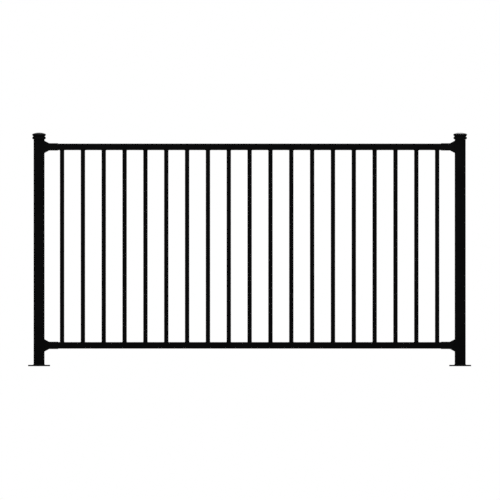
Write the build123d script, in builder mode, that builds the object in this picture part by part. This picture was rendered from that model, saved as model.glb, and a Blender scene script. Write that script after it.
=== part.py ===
from build123d import *
import os

# One bay of a welded steel picket fence: two posts on base plates, two rails held at the
# posts by cast brackets, and a row of pickets welded between the rails.
# Millimetres, +X along the fence, +Y to the back, +Z up.
# The origin is the centre of the underside of the left base plate.

# Posts
POST_SPACING = 2438.4  # from centre to centre
POST_SIZE = 63.5
POST_WALL = 2.77
POST_CORNER = 2.5
POST_ABOVE_BRACKET = 8.73125  # from the top brackets' upper edge to the post's end

# Base plates
PLATE_SIZE = 127.0
PLATE_THICKNESS = 8.0
PLATE_CORNER = 6.0
PLATE_BEVEL = 1.0
ANCHOR_SPACING = 95.25
ANCHOR_DIAMETER = 14.3

# Rails
RAIL_SIZE = 38.1
RAIL_WALL = 2.11
RAIL_CORNER = 2.0
RAIL_SPACING = 1149.35  # from centre to centre
RAIL_END_GAP = 6.35  # from a rail's end to the post's face
GROUND_GAP = 101.6  # from the ground to the bottom rail

# Pickets
PICKET_COUNT = 19
PICKET_SIZE = 25.4
PICKET_WALL = 1.65
PICKET_CORNER = 1.5
PICKET_TO_BRACKET = 9.525  # from a bracket's mouth to the first or last picket

# Rail brackets
FLANGE_HEIGHT = 71.4375
FLANGE_INSET = 2.0  # from the edge of the flat of the post's face
FLARE_LENGTH = 26.9875  # from the post's face to the narrow end of the flare
FLARE_BLEND = 12.0
SLEEVE_LENGTH = 52.3875
SLEEVE_WALL = 2.0
SLEEVE_CLEARANCE = 0.25
BRACKET_BEVEL = 3.0
MOUTH_BEVEL = 0.8
SCREW_DIAMETER = 5.2
SCREW_POCKET_DIAMETER = 9.5
SCREW_SEAT = 5.0  # metal under a screw's head
SCREW_MARGIN = 0.5  # between a screw's pocket and the sleeve
SET_SCREW_DIAMETER = 4.8

# Post caps
LOWER_BEAD_SIZE = 77.8
LOWER_BEAD_HEIGHT = 14.3
NECK_SIZE = 68.3
NECK_HEIGHT = 4.8
UPPER_BEAD_SIZE = 79.4
UPPER_BEAD_HEIGHT = 10.5
DOME_RISE = 8.5
CAP_CORNER = 3.0
CAP_ROUND = 5.0
CAVITY_HEIGHT = 25.0
SPIGOT_DEPTH = 25.4
SPIGOT_WALL = 2.5
SPIGOT_CORNER = 3.0
SPIGOT_CLEARANCE = 0.3

# Places that follow from the sizes above
post_face = POST_SIZE / 2
bottom_rail_z = GROUND_GAP + RAIL_SIZE / 2
top_rail_z = bottom_rail_z + RAIL_SPACING
post_top = top_rail_z + FLANGE_HEIGHT / 2 + POST_ABOVE_BRACKET
rail_length = POST_SPACING - 2 * (post_face + RAIL_END_GAP)

bracket_length = FLARE_LENGTH + SLEEVE_LENGTH
flange_width = POST_SIZE - 2 * (POST_CORNER + FLANGE_INSET)
pocket_size = RAIL_SIZE + 2 * SLEEVE_CLEARANCE
pocket_corner = RAIL_CORNER + SLEEVE_CLEARANCE
sleeve_size = pocket_size + 2 * SLEEVE_WALL
screw_reach = sleeve_size / 2 + SCREW_MARGIN + SCREW_POCKET_DIAMETER / 2

first_picket_x = post_face + bracket_length + PICKET_TO_BRACKET + PICKET_SIZE / 2
picket_pitch = (POST_SPACING - 2 * first_picket_x) / (PICKET_COUNT - 1)
picket_length = RAIL_SPACING - RAIL_SIZE

upper_bead_z = LOWER_BEAD_HEIGHT + NECK_HEIGHT
rim_z = upper_bead_z + UPPER_BEAD_HEIGHT
cap_height = rim_z + DOME_RISE
spigot_size = POST_SIZE - 2 * (POST_WALL + SPIGOT_CLEARANCE)
cavity_size = spigot_size - 2 * SPIGOT_WALL
cavity_corner = max(SPIGOT_CORNER - SPIGOT_WALL, SPIGOT_CLEARANCE)

# Each side has its post's X and the direction from that post into the bay
SIDES = {"left": (0.0, 1.0), "right": (POST_SPACING, -1.0)}
LEVELS = {"bottom": bottom_rail_z, "top": top_rail_z}


def draw_tube(size, wall, corner):
    """The section of a square tube with rolled corners, in the sketch that is open."""
    RectangleRounded(size, size, corner)
    offset(amount=-wall, mode=Mode.SUBTRACT)


def draw_cap_profile():
    """Half of the cap's moulding, from the underside up to the crown, in the line that is open."""
    lower, neck, upper = LOWER_BEAD_SIZE / 2, NECK_SIZE / 2, UPPER_BEAD_SIZE / 2
    lower_side_z = LOWER_BEAD_HEIGHT - (lower - neck)
    Polyline((0, 0), (lower, 0), (lower, lower_side_z))
    JernArc(start=(lower, lower_side_z), tangent=(0, 1), radius=lower - neck, arc_size=90)
    Line((neck, LOWER_BEAD_HEIGHT), (neck, upper_bead_z))
    JernArc(start=(neck, upper_bead_z), tangent=(1, 0), radius=upper - neck, arc_size=90)
    Line((upper, upper_bead_z + upper - neck), (upper, rim_z))
    TangentArc((0, cap_height), (upper, rim_z), tangent=(1, 0))


def draw_bracket_profile(flange):
    """Half of the bracket, from the post's face to the sleeve's mouth, in the line that is open."""
    Polyline(
        (0, 0),
        (flange / 2, 0),
        (sleeve_size / 2, FLARE_LENGTH),
        (sleeve_size / 2, bracket_length),
        (0, bracket_length),
    )


os.makedirs("parts", exist_ok=True)

for side, (post_x, inward) in SIDES.items():

    # Base plate with four anchor holes
    with BuildPart() as base_plate:
        with BuildSketch(Plane((post_x, 0, 0))):
            RectangleRounded(PLATE_SIZE, PLATE_SIZE, PLATE_CORNER)
        extrude(amount=PLATE_THICKNESS)
        chamfer(base_plate.faces().sort_by(Axis.Z)[-1].edges(), PLATE_BEVEL)
        with Locations(Plane((post_x, 0, PLATE_THICKNESS))):
            with GridLocations(ANCHOR_SPACING, ANCHOR_SPACING, 2, 2):
                Hole(ANCHOR_DIAMETER / 2)
    base_plate.part.label = f"{side}_base_plate"
    export_step(base_plate.part, f"parts/{side}_base_plate.step")

    # Post tube, standing on its plate
    with BuildPart() as post:
        with BuildSketch(Plane((post_x, 0, PLATE_THICKNESS))):
            draw_tube(POST_SIZE, POST_WALL, POST_CORNER)
        extrude(amount=post_top - PLATE_THICKNESS)
    post.part.label = f"{side}_post"
    export_step(post.part, f"parts/{side}_post.step")

    # Post cap: what two crossing runs of one moulding have in common, so that its corners
    # are mitred, over a hollow spigot that goes down into the tube
    cap_seat = Plane((post_x, 0, post_top))
    front_run = Plane(cap_seat.origin, x_dir=(1, 0, 0), z_dir=(0, -1, 0))
    side_run = Plane(cap_seat.origin, x_dir=(0, 1, 0), z_dir=(1, 0, 0))
    with BuildPart() as cap:
        for run, mode in ((front_run, Mode.ADD), (side_run, Mode.INTERSECT)):
            with BuildSketch(run) as moulding:
                with BuildLine():
                    draw_cap_profile()
                    mirror(about=Plane.YZ)
                make_face()
                corners = moulding.vertices().group_by(Axis.Y)
                fillet(corners[0] + corners[-1], CAP_ROUND)
            extrude(amount=UPPER_BEAD_SIZE / 2, both=True, mode=mode)
        with BuildSketch(cap_seat):
            RectangleRounded(UPPER_BEAD_SIZE, UPPER_BEAD_SIZE, CAP_CORNER)
        extrude(amount=cap_height, mode=Mode.INTERSECT)
        with BuildSketch(cap_seat):
            RectangleRounded(spigot_size, spigot_size, SPIGOT_CORNER)
        extrude(amount=-SPIGOT_DEPTH)
        with BuildSketch(cap_seat.offset(-SPIGOT_DEPTH)):
            RectangleRounded(cavity_size, cavity_size, cavity_corner)
        extrude(amount=SPIGOT_DEPTH + CAVITY_HEIGHT, mode=Mode.SUBTRACT)
    cap.part.label = f"{side}_post_cap"
    export_step(cap.part, f"parts/{side}_post_cap.step")

    for level, rail_z in LEVELS.items():

        # Cast bracket: a flange on the post's face flares in to a sleeve round the rail's end.
        # It is what its plan and its side view have in common, with bevelled corners.
        seat = Vector(post_x + inward * post_face, 0, rail_z)
        on_post = Plane(seat, x_dir=(0, 1, 0), z_dir=(inward, 0, 0))
        plan = Plane(seat, x_dir=(0, 1, 0), z_dir=(0, 0, -inward))
        side_view = Plane(seat, x_dir=(0, 0, 1), z_dir=(0, inward, 0))
        sleeve_middle = post_x + inward * (post_face + FLARE_LENGTH + SLEEVE_LENGTH / 2)
        sleeve_back = Plane((sleeve_middle, sleeve_size / 2, rail_z), z_dir=(0, 1, 0))
        with BuildPart() as bracket:
            for view, flange, depth, mode in (
                (plan, flange_width, FLANGE_HEIGHT, Mode.ADD),
                (side_view, FLANGE_HEIGHT, flange_width, Mode.INTERSECT),
            ):
                with BuildSketch(view) as outline:
                    with BuildLine():
                        draw_bracket_profile(flange)
                        mirror(about=Plane.YZ)
                    make_face()
                    bends = outline.vertices().filter_by_position(Axis.Y, FLARE_LENGTH, FLARE_LENGTH)
                    fillet(bends, FLARE_BLEND)
                extrude(amount=depth, both=True, mode=mode)
            across_rail = bracket.edges().filter_by(Plane.YZ)
            chamfer(bracket.edges() - across_rail, BRACKET_BEVEL)
            along_rail = Axis(seat, on_post.z_dir)
            chamfer(bracket.edges().group_by(along_rail)[-1], MOUTH_BEVEL)
            with BuildSketch(on_post):
                RectangleRounded(pocket_size, pocket_size, pocket_corner)
            extrude(amount=bracket_length, mode=Mode.SUBTRACT)
            with Locations(on_post.offset(FLARE_LENGTH)):
                with GridLocations(0, 2 * screw_reach, 1, 2):
                    CounterBoreHole(
                        radius=SCREW_DIAMETER / 2,
                        counter_bore_radius=SCREW_POCKET_DIAMETER / 2,
                        counter_bore_depth=FLARE_LENGTH - SCREW_SEAT,
                        depth=FLARE_LENGTH,
                    )
            with Locations(sleeve_back):
                Hole(SET_SCREW_DIAMETER / 2, depth=SLEEVE_WALL + SLEEVE_CLEARANCE)
        bracket.part.label = f"{level}_{side}_bracket"
        export_step(bracket.part, f"parts/{level}_{side}_bracket.step")

for level, rail_z in LEVELS.items():

    # Rail tube, with its ends inside the brackets
    rail_end = Plane((post_face + RAIL_END_GAP, 0, rail_z), x_dir=(0, 1, 0), z_dir=(1, 0, 0))
    with BuildPart() as rail:
        with BuildSketch(rail_end):
            draw_tube(RAIL_SIZE, RAIL_WALL, RAIL_CORNER)
        extrude(amount=rail_length)
    rail.part.label = f"{level}_rail"
    export_step(rail.part, f"parts/{level}_rail.step")

for number in range(1, PICKET_COUNT + 1):

    # Picket tube, cut to stand between the two rails
    picket_x = first_picket_x + (number - 1) * picket_pitch
    with BuildPart() as picket:
        with BuildSketch(Plane((picket_x, 0, bottom_rail_z + RAIL_SIZE / 2))):
            draw_tube(PICKET_SIZE, PICKET_WALL, PICKET_CORNER)
        extrude(amount=picket_length)
    picket.part.label = f"picket_{number:02d}"
    export_step(picket.part, f"parts/picket_{number:02d}.step")
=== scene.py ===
import math
import random

import bmesh
import bpy
from mathutils import Matrix, Vector


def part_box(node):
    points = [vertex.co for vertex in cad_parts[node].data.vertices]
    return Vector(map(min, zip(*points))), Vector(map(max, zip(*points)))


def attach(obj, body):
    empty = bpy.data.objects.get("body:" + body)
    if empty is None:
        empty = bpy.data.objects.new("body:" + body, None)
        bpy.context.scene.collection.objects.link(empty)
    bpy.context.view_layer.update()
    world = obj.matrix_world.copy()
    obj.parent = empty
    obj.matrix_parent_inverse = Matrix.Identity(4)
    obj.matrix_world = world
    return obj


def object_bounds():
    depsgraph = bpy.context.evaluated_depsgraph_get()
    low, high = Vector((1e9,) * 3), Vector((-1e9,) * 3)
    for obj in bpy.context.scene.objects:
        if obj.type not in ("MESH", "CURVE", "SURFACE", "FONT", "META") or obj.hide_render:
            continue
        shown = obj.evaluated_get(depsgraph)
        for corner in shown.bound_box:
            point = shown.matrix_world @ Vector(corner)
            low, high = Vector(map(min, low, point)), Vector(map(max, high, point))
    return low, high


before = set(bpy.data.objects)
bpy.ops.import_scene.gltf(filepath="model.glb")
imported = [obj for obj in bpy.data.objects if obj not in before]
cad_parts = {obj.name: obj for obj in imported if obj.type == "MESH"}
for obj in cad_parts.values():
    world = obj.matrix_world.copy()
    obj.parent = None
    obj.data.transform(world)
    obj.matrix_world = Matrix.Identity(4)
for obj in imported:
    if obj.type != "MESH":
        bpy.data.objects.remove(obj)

# A bay of black picket fence: satin powder coat on the tubes and castings, the weld beads
# around every picket and post, and the screws that hold the brackets. Sizes are in metres.

CAD_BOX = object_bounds()
CENTRE = (CAD_BOX[0] + CAD_BOX[1]) / 2
MM = 0.001

# Picture: straight from the front, with no perspective, aimed close to the fence's middle
PICTURE_WIDTH = 2.895
AIM_OFFSET = Vector((2.2, 0.0, -3.4)) * MM
CAMERA_DISTANCE = 6.0

# Weld beads around tubes with rounded corners. The crown, the unevenness and the ripples are in
# shares of the leg, the waves of unevenness are counted around the tube, and the crescent, by
# which a ripple lags at the crown, is in radians.
PICKET_CORNER = 1.5 * MM
PICKET_WELD_LEG = 1.8 * MM
POST_CORNER = 2.5 * MM
POST_WELD_LEG = 3.0 * MM
BEAD_STEPS = 5
BEAD_ROOT = 0.4 * MM
BEAD_CROWN = 0.2
BEAD_UNEVEN = 0.1
SLOW_WAVES = 3
FAST_WAVES = 7
RIPPLE_PITCH = 1.0
RIPPLE_SEGMENTS = 4
RIPPLE_DEPTH = 0.07
RIPPLE_CRESCENT = 1.6
WELD_SHARP_ANGLE = math.radians(60)
PICKET_WELD_SEED = 3
POST_WELD_SEED = 8

# Bracket screws, by their distances from the post's face, the rail's middle and the sleeve's mouth
FLANGE_SCREW_SEAT = 5.0 * MM
FLANGE_SCREW_REACH = 26.55 * MM
SLEEVE_SCREW_FROM_MOUTH = 26.194 * MM
SLEEVE_HALF = 21.3 * MM
SCREW_SIDES = 24
SCREW_SHARP_ANGLE = math.radians(35)
SCREW_SEED = 5

# Screw heads, as rings from the seat up and into the recess: the form, its radius or width
# across flats, and its height, in millimetres
PAN_HEAD = (
    ("round", 4.5, -0.4),
    ("round", 4.5, 1.2),
    ("round", 4.3, 1.9),
    ("round", 3.8, 2.5),
    ("round", 3.0, 2.9),
    ("round", 2.3, 3.0),
    ("hex", 3.3, 3.0),
    ("hex", 3.1, 2.8),
    ("hex", 3.1, 1.2),
)
HEX_HEAD = (
    ("round", 5.1, -0.4),
    ("round", 5.1, 0.5),
    ("round", 4.8, 0.9),
    ("hex", 7.94, 1.05),
    ("hex", 7.94, 3.6),
    ("round", 3.8, 4.1),
    ("round", 3.3, 4.2),
    ("round", 2.4, 4.0),
    ("round", 1.0, 3.7),
)

# Powder coat: the noise behind its shade, gloss and grain, and the band of that noise in use
SHADE_NOISE = {"Scale": 7.0, "Detail": 5.0, "Roughness": 0.6}
SHADE_BAND = (0.35, 0.65)
GLOSS_NOISE = {"Scale": 38.0, "Detail": 4.0, "Roughness": 0.55}
GLOSS_BAND = (0.3, 0.7)
GRAIN_NOISE = {"Detail": 2.0, "Roughness": 0.5}

# Light: square lamps by name, offset from the fence's middle and watts, and the world's strength
LAMPS = (
    ("key_lamp", (-2.8, -4.4, 3.6), 130.0),
    ("fill_lamp", (3.6, -4.0, 2.0), 60.0),
    ("back_lamp", (1.4, 4.6, 3.4), 110.0),
)
LAMP_SIZE = 2.4
AMBIENT = 0.55
WHITE = (1.0, 1.0, 1.0, 1.0)

# Floor: it fades to white between two distances from the fence's middle
FLOOR_SIZE = 60.0
FLOOR_FADE = (1.5, 3.4)
FLOOR_NOISE = {"Scale": 3.0, "Detail": 6.0, "Roughness": 0.6}
FLOOR_GREYS = (0.84, 0.88)
FLOOR_ROUGHNESS = 0.5
WHOLE_BAND = (0.0, 1.0)


def add_node(tree, kind, **values):
    """A shader node with its unlinked inputs set by name, with _ for a space."""
    node = tree.nodes.new(kind)
    for name, value in values.items():
        node.inputs[name.replace("_", " ")].default_value = value
    return node


def add_noise(tree, place, **values):
    """Noise from 0 to 1 over a material's coordinates."""
    noise = add_node(tree, "ShaderNodeTexNoise", **values)
    tree.links.new(place, noise.inputs["Vector"])
    return noise.outputs["Fac"]


def add_ramp(tree, value, band, colours):
    """A blend from one colour to another as a value crosses a band."""
    ramp = tree.nodes.new("ShaderNodeValToRGB")
    for stop, position, colour in zip(ramp.color_ramp.elements, band, colours):
        stop.position = position
        stop.color = (*colour, 1.0)
    tree.links.new(value, ramp.inputs["Fac"])
    return ramp.outputs["Color"]


def add_range(tree, value, band, ends, interpolation="LINEAR"):
    """A number that goes from one end to the other as a value crosses a band."""
    stretch = add_node(
        tree,
        "ShaderNodeMapRange",
        From_Min=band[0],
        From_Max=band[1],
        To_Min=ends[0],
        To_Max=ends[1],
    )
    stretch.interpolation_type = interpolation
    tree.links.new(value, stretch.inputs["Value"])
    return stretch.outputs["Result"]


def add_math(tree, operation, first, second):
    """The result of a math operation on two values."""
    node = tree.nodes.new("ShaderNodeMath")
    node.operation = operation
    tree.links.new(first, node.inputs[0])
    tree.links.new(second, node.inputs[1])
    return node.outputs["Value"]


def new_material(name):
    """An empty node material, its output's surface socket, and the object's own coordinates."""
    material = bpy.data.materials.new(name)
    material.use_nodes = True
    tree = material.node_tree
    tree.nodes.clear()
    surface = tree.nodes.new("ShaderNodeOutputMaterial").inputs["Surface"]
    place = tree.nodes.new("ShaderNodeTexCoord").outputs["Object"]
    return material, surface, place


def seen_directly(tree):
    """1 for rays from the camera and for reflected or refracted rays, 0 for the light itself."""
    rays = tree.nodes.new("ShaderNodeLightPath").outputs
    seen = rays["Is Camera Ray"]
    for kind in ("Is Glossy Ray", "Is Transmission Ray"):
        seen = add_math(tree, "MAXIMUM", seen, rays[kind])
    return seen


def powder_coat(name, shades, roughness, ior, face_on, reliefs):
    """Baked powder paint: a mottled shade and gloss over bumps of several sizes.

    shades and roughness are (low, high), and reliefs holds (size, depth) from coarse to fine.
    face_on is the share of the shine that is left on a surface seen square-on.
    """
    material, surface, place = new_material(name)
    tree = material.node_tree
    link = tree.links.new

    tint = (face_on, face_on, face_on, 1.0)
    paint = add_node(tree, "ShaderNodeBsdfPrincipled", IOR=ior, Specular_Tint=tint)
    link(paint.outputs["BSDF"], surface)

    mottle = add_noise(tree, place, **SHADE_NOISE)
    link(add_ramp(tree, mottle, SHADE_BAND, shades), paint.inputs["Base Color"])

    flow = add_noise(tree, place, **GLOSS_NOISE)
    link(add_range(tree, flow, GLOSS_BAND, roughness), paint.inputs["Roughness"])

    normal = None
    for size, depth in reliefs:
        grain = add_noise(tree, place, Scale=1.0 / size, **GRAIN_NOISE)
        bump = add_node(tree, "ShaderNodeBump", Strength=1.0, Distance=depth)
        link(grain, bump.inputs["Height"])
        if normal:
            link(normal, bump.inputs["Normal"])
        normal = bump.outputs["Normal"]
    link(normal, paint.inputs["Normal"])
    return material


def add_piece(name, bm, material, sharp_angle):
    """Adds a finished piece from a bmesh, smooth but for edges over sharp_angle."""
    bmesh.ops.recalc_face_normals(bm, faces=bm.faces)
    mesh = bpy.data.meshes.new(name)
    bm.to_mesh(mesh)
    bm.free()
    mesh.shade_smooth()
    mesh.set_sharp_from_angle(angle=sharp_angle)
    mesh.materials.append(material)
    piece = bpy.data.objects.new(name, mesh)
    bpy.context.scene.collection.objects.link(piece)
    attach(piece, "root")


def close_rings(bm, rings):
    """Quads between each ring of vertices and the next, both going round the same way."""
    for ring, following in zip(rings, rings[1:]):
        for i in range(len(ring)):
            j = (i + 1) % len(ring)
            bm.faces.new((ring[i], ring[j], following[j], following[i]))


def square_outline(half, corner, distance):
    """The point of a rounded square at a distance along its outline, and the way out there."""
    straight = 2 * (half - corner)
    quarter = straight + corner * math.pi / 2
    side, along = divmod(distance, quarter)
    if along < straight:
        point = Vector((half, along - straight / 2, 0))
        outward = Vector((1, 0, 0))
    else:
        angle = (along - straight) / corner
        outward = Vector((math.cos(angle), math.sin(angle), 0))
        point = Vector((half - corner, half - corner, 0)) + corner * outward
    turn = Matrix.Rotation(side * math.pi / 2, 3, "Z")
    return turn @ point, turn @ outward


def weld_bead(bm, foot, half, corner, leg, rise, rng):
    """A rippled fillet weld around a square tube that stands on a flat face, or hangs from it.

    foot is where the tube's axis meets the face. rise is 1 for a standing tube, and -1 for a
    hanging one.
    """
    length = 8 * (half - corner) + 2 * math.pi * corner
    ripples = round(length / (RIPPLE_PITCH * leg))
    count = ripples * RIPPLE_SEGMENTS
    start = rng.uniform(0, math.tau)
    rings = []
    for i in range(count):
        share = i / count
        point, outward = square_outline(half, corner, share * length)
        slow = math.sin(math.tau * SLOW_WAVES * share + start)
        fast = math.sin(math.tau * FAST_WAVES * share - start)
        size = leg * (1 + BEAD_UNEVEN * (slow + fast) / 2)
        section = [(-BEAD_ROOT, -BEAD_ROOT)]
        for step in range(BEAD_STEPS + 1):
            down = step / BEAD_STEPS
            swell = math.sin(math.pi * down)
            wave = math.cos(math.tau * ripples * share + RIPPLE_CRESCENT * swell)
            crown = size * (BEAD_CROWN + RIPPLE_DEPTH * wave) * swell
            section.append((size * down + crown, size * (1 - down) + crown))
        rings.append([
            bm.verts.new(foot + point + outward * out + Vector((0, 0, rise * up)))
            for out, up in section
        ])
    close_rings(bm, [*rings, rings[0]])


def picket_welds(material):
    """Beads at the top and the bottom of every picket, on the rails' faces."""
    rng = random.Random(PICKET_WELD_SEED)
    bm = bmesh.new()
    for node in sorted(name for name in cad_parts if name.startswith("picket_")):
        low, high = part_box(node)
        middle = (low + high) / 2
        half = (high.x - low.x) / 2
        for height, rise in ((low.z, 1), (high.z, -1)):
            foot = Vector((middle.x, middle.y, height))
            weld_bead(bm, foot, half, PICKET_CORNER, PICKET_WELD_LEG, rise, rng)
    add_piece("picket_welds", bm, material, WELD_SHARP_ANGLE)


def post_welds(material):
    """Beads where the posts stand on their base plates."""
    rng = random.Random(POST_WELD_SEED)
    bm = bmesh.new()
    for side in ("left", "right"):
        low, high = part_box(f"{side}_post")
        foot = Vector(((low.x + high.x) / 2, (low.y + high.y) / 2, low.z))
        half = (high.x - low.x) / 2
        weld_bead(bm, foot, half, POST_CORNER, POST_WELD_LEG, 1, rng)
    add_piece("post_welds", bm, material, WELD_SHARP_ANGLE)


def hexagon_radius(across_flats, angle):
    """How far a hexagon's outline is from its middle at an angle from the middle of a flat."""
    off_flat = (angle + math.pi / 6) % (math.pi / 3) - math.pi / 6
    return across_flats / 2 / math.cos(off_flat)


def screw_head(bm, place, outline):
    """A head with its outline's rings joined and both ends closed, at a place."""
    rings = []
    for form, size, height in outline:
        ring = []
        for i in range(SCREW_SIDES):
            angle = math.tau * i / SCREW_SIDES
            radius = size if form == "round" else hexagon_radius(size, angle)
            point = Vector((radius * math.cos(angle), radius * math.sin(angle), height))
            ring.append(bm.verts.new(place @ (point * MM)))
        rings.append(ring)
    close_rings(bm, rings)
    bm.faces.new(rings[0])
    bm.faces.new(rings[-1])


def screw_place(point, direction, rng):
    """Stands a screw's axis at a point, along a direction, turned as it was driven."""
    stand = direction.to_track_quat("Z", "Y").to_matrix().to_4x4()
    turn = Matrix.Rotation(rng.uniform(0, math.pi / 3), 4, "Z")
    return Matrix.Translation(point) @ stand @ turn


def bracket_screws(material):
    """Pan heads in the flanges' pockets, and hex heads on the back of the sleeves."""
    rng = random.Random(SCREW_SEED)
    pan_heads = bmesh.new()
    hex_heads = bmesh.new()
    backward = Vector((0, 1, 0))
    for side, inward in (("left", 1), ("right", -1)):
        for level in ("top", "bottom"):
            low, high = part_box(f"{level}_{side}_bracket")
            middle = (low + high) / 2
            post_face, mouth = (low.x, high.x) if inward > 0 else (high.x, low.x)
            seat_x = post_face + inward * FLANGE_SCREW_SEAT
            for reach in (-FLANGE_SCREW_REACH, FLANGE_SCREW_REACH):
                seat = Vector((seat_x, middle.y, middle.z + reach))
                screw_head(pan_heads, screw_place(seat, Vector((inward, 0, 0)), rng), PAN_HEAD)
            seat_x = mouth - inward * SLEEVE_SCREW_FROM_MOUTH
            seat = Vector((seat_x, middle.y + SLEEVE_HALF, middle.z))
            screw_head(hex_heads, screw_place(seat, backward, rng), HEX_HEAD)
    add_piece("flange_screws", pan_heads, material, SCREW_SHARP_ANGLE)
    add_piece("sleeve_screws", hex_heads, material, SCREW_SHARP_ANGLE)


def dress_nodes(tube, plate, cast):
    """Gives every solid of the frame its finish."""
    finishes = {"base_plate": plate, "post_cap": cast, "bracket": cast}
    for name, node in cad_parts.items():
        finish = next((f for ending, f in finishes.items() if name.endswith(ending)), tube)
        node.data.materials.clear()
        node.data.materials.append(finish)


def add_camera():
    """A camera on the front, level with the panel's middle."""
    camera = bpy.data.objects.new("camera", bpy.data.cameras.new("camera"))
    camera.data.type = "ORTHO"
    camera.data.ortho_scale = PICTURE_WIDTH
    camera.location = CENTRE + AIM_OFFSET - Vector((0, CAMERA_DISTANCE, 0))
    camera.rotation_euler = (math.pi / 2, 0, 0)
    bpy.context.scene.collection.objects.link(camera)
    bpy.context.scene.camera = camera


def add_lamp(name, offset, power):
    """A soft square lamp, placed from the fence's middle and aimed at it."""
    lamp = bpy.data.objects.new(name, bpy.data.lights.new(name, "AREA"))
    lamp.data.shape = "SQUARE"
    lamp.data.size = LAMP_SIZE
    lamp.data.energy = power
    lamp.location = CENTRE + Vector(offset)
    lamp.rotation_euler = (-Vector(offset)).to_track_quat("-Z", "Y").to_euler()
    bpy.context.scene.collection.objects.link(lamp)


def add_world():
    """White wherever it is seen, and an even ambient light on the fence."""
    world = bpy.data.worlds.new("studio")
    world.use_nodes = True
    tree = world.node_tree
    tree.nodes.clear()
    ambient = add_node(tree, "ShaderNodeBackground", Color=WHITE, Strength=AMBIENT)
    white = add_node(tree, "ShaderNodeBackground", Color=WHITE, Strength=1.0)
    mix = tree.nodes.new("ShaderNodeMixShader")
    output = tree.nodes.new("ShaderNodeOutputWorld")
    tree.links.new(seen_directly(tree), mix.inputs["Fac"])
    tree.links.new(ambient.outputs["Background"], mix.inputs[1])
    tree.links.new(white.outputs["Background"], mix.inputs[2])
    tree.links.new(mix.outputs["Shader"], output.inputs["Surface"])
    bpy.context.scene.world = world


def floor_material():
    """Pale matt paint that keeps the shadow near the fence and fades to white far off."""
    material, surface, place = new_material("pale_floor")
    tree = material.node_tree
    link = tree.links.new

    speckle = add_noise(tree, place, **FLOOR_NOISE)
    greys = [(grey, grey, grey) for grey in FLOOR_GREYS]
    paint = add_node(tree, "ShaderNodeBsdfDiffuse", Roughness=FLOOR_ROUGHNESS)
    link(add_ramp(tree, speckle, WHOLE_BAND, greys), paint.inputs["Color"])

    distance = tree.nodes.new("ShaderNodeVectorMath")
    distance.operation = "LENGTH"
    link(place, distance.inputs[0])
    fade = add_range(tree, distance.outputs["Value"], FLOOR_FADE, WHOLE_BAND, "SMOOTHSTEP")
    seen_far = add_math(tree, "MULTIPLY", fade, seen_directly(tree))

    white = add_node(tree, "ShaderNodeEmission", Color=WHITE, Strength=1.0)
    mix = tree.nodes.new("ShaderNodeMixShader")
    link(seen_far, mix.inputs["Fac"])
    link(paint.outputs["BSDF"], mix.inputs[1])
    link(white.outputs["Emission"], mix.inputs[2])
    link(mix.outputs["Shader"], surface)
    return material


def add_floor():
    """A pale floor under the base plates."""
    half = FLOOR_SIZE / 2
    mesh = bpy.data.meshes.new("floor")
    corners = [(-half, -half, 0), (half, -half, 0), (half, half, 0), (-half, half, 0)]
    mesh.from_pydata(corners, [], [(0, 1, 2, 3)])
    mesh.materials.append(floor_material())
    floor = bpy.data.objects.new("floor", mesh)
    floor.location = (CENTRE.x, CENTRE.y, CAD_BOX[0].z)
    bpy.context.scene.collection.objects.link(floor)


add_camera()

TUBE_COAT = powder_coat(
    "black_tube_coat",
    shades=((0.0016, 0.0016, 0.0017), (0.0026, 0.0026, 0.0027)),
    roughness=(0.36, 0.42),
    ior=1.25,
    face_on=0.1,
    reliefs=((9.0 * MM, 0.05 * MM), (1.6 * MM, 0.03 * MM)),
)
PLATE_COAT = powder_coat(
    "black_plate_coat",
    shades=((0.0018, 0.0018, 0.0019), (0.0030, 0.0030, 0.0030)),
    roughness=(0.41, 0.47),
    ior=1.25,
    face_on=0.1,
    reliefs=((14.0 * MM, 0.2 * MM), (1.8 * MM, 0.05 * MM)),
)
CAST_COAT = powder_coat(
    "black_cast_coat",
    shades=((0.0017, 0.0017, 0.0018), (0.0028, 0.0028, 0.0029)),
    roughness=(0.42, 0.49),
    ior=1.2,
    face_on=0.15,
    reliefs=((7.0 * MM, 0.15 * MM), (1.1 * MM, 0.10 * MM)),
)
SCREW_COAT = powder_coat(
    "black_screw_coat",
    shades=((0.0040, 0.0039, 0.0038), (0.0070, 0.0068, 0.0064)),
    roughness=(0.30, 0.42),
    ior=1.25,
    face_on=0.8,
    reliefs=((2.5 * MM, 0.02 * MM), (0.5 * MM, 0.01 * MM)),
)

dress_nodes(TUBE_COAT, PLATE_COAT, CAST_COAT)
picket_welds(TUBE_COAT)
post_welds(TUBE_COAT)
bracket_screws(SCREW_COAT)

add_world()
add_floor()
for lamp_name, lamp_offset, lamp_power in LAMPS:
    add_lamp(lamp_name, lamp_offset, lamp_power)
bpy.context.scene.view_settings.view_transform = "Standard"
